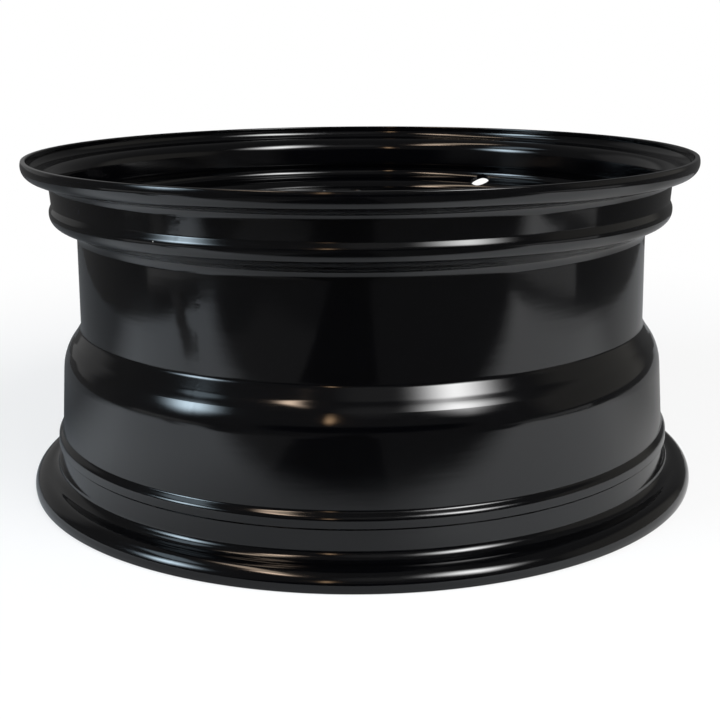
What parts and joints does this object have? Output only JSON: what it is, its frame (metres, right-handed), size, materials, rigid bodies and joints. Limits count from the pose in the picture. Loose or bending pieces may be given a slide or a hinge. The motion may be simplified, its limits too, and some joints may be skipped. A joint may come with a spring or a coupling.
{
  "type": "wheel rim",
  "caption": "Gloss black steel disc wheel rim without a tyre: rolled flanges, humped bead seats, drop-centre well, and a welded vented disc with centre bore and lug seats.",
  "frame": {"origin": "on the wheel's axis, in the plane of the inboard lip that it stands on", "axes": "+Z along the axis towards the outboard side, -Y towards the camera, +X to the right in the picture; the valve hole lies between +X and +Y"},
  "size_m": [0.4716, 0.4716, 0.2292],
  "materials": {
    "black_paint": "gloss black paint over steel, smooth, with a few small nicks"
  },
  "bodies": {
    "root": {"rim_barrel": "black_paint", "wheel_disc": "black_paint", "disc_welds": "black_paint"}
  },
  "joints": []
}
